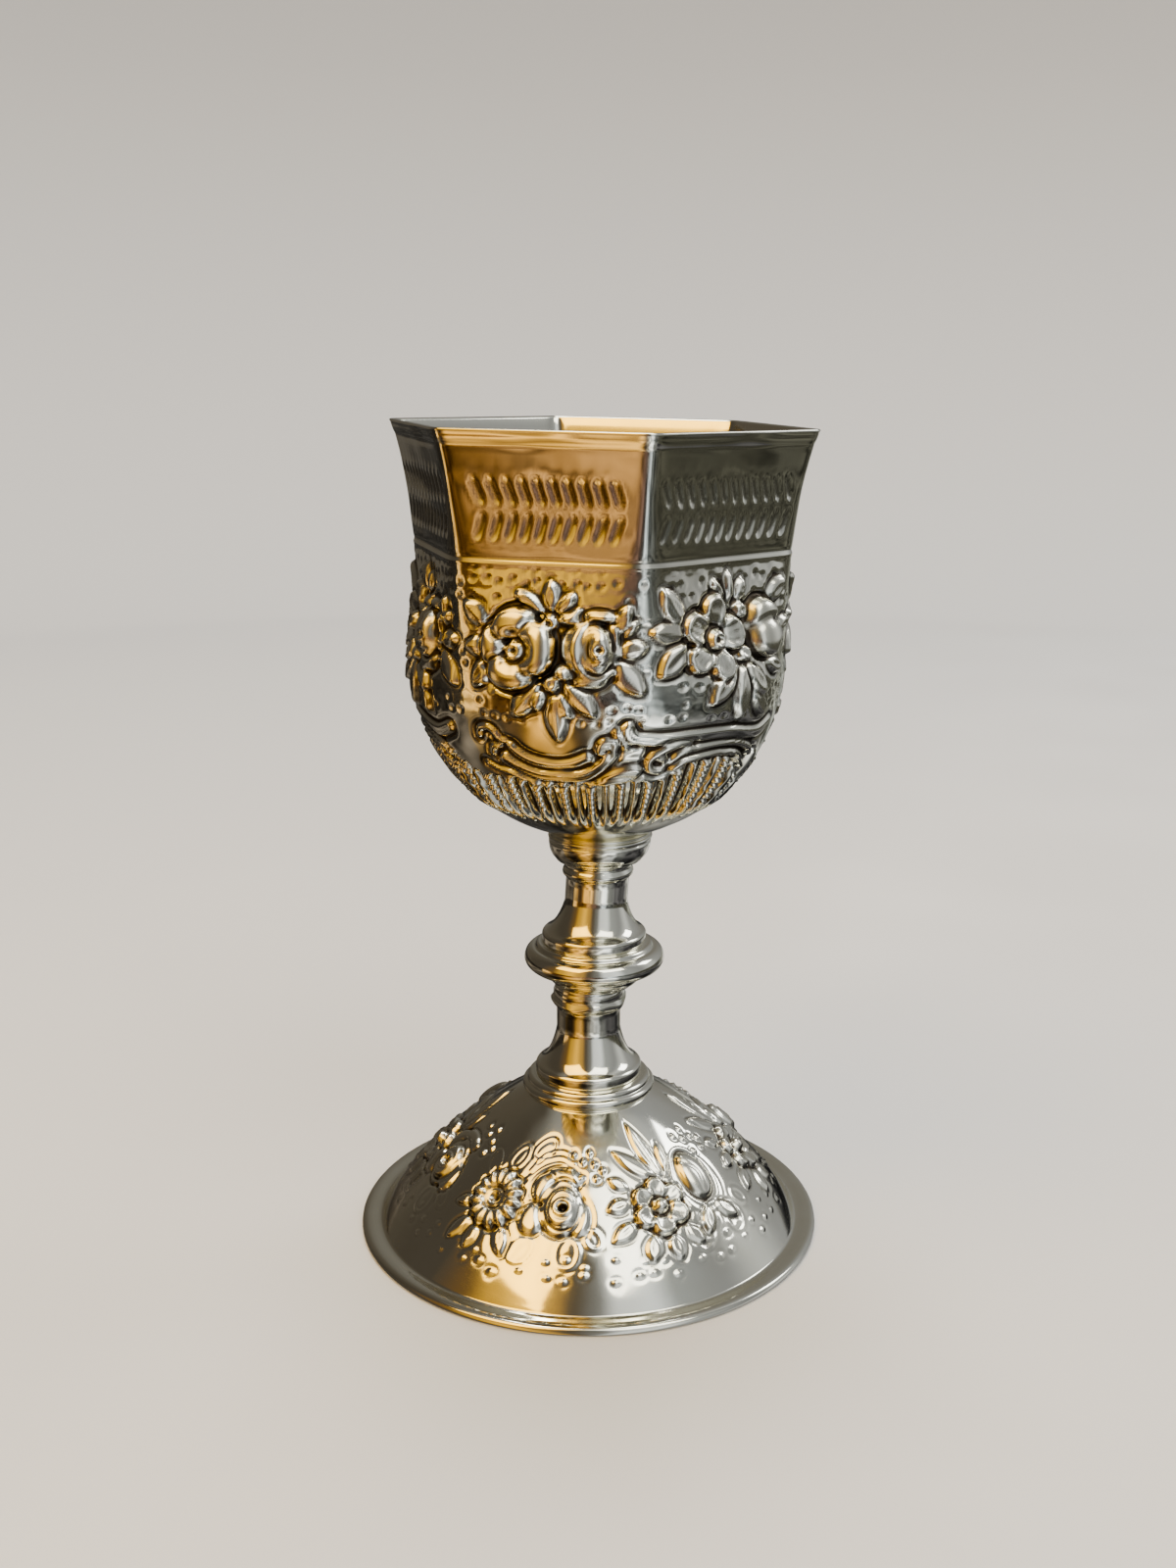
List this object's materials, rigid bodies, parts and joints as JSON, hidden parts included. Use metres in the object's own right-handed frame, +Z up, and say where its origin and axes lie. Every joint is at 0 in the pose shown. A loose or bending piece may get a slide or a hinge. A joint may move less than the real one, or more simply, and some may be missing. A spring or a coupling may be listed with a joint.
{
  "type": "kiddush cup",
  "caption": "Stemmed ceremonial wine cup with a six-sided bowl in floral relief, a knopped stem and a chased domed foot.",
  "frame": {"origin": "middle of the foot's underside, on the table", "axes": "+Z up through the bowl; the front, -Y, is where one face of the bowl looks forward and a little to the left"},
  "size_m": [0.0698, 0.0698, 0.1205],
  "materials": {
    "chased_silver": "polished silver with dark patina in the hollows",
    "stem_silver": "polished silver with light wear"
  },
  "bodies": {
    "root": {"foot": "chased_silver", "lower_stem": "stem_silver", "knop": "stem_silver", "upper_stem": "stem_silver", "bowl": "chased_silver"}
  },
  "joints": []
}
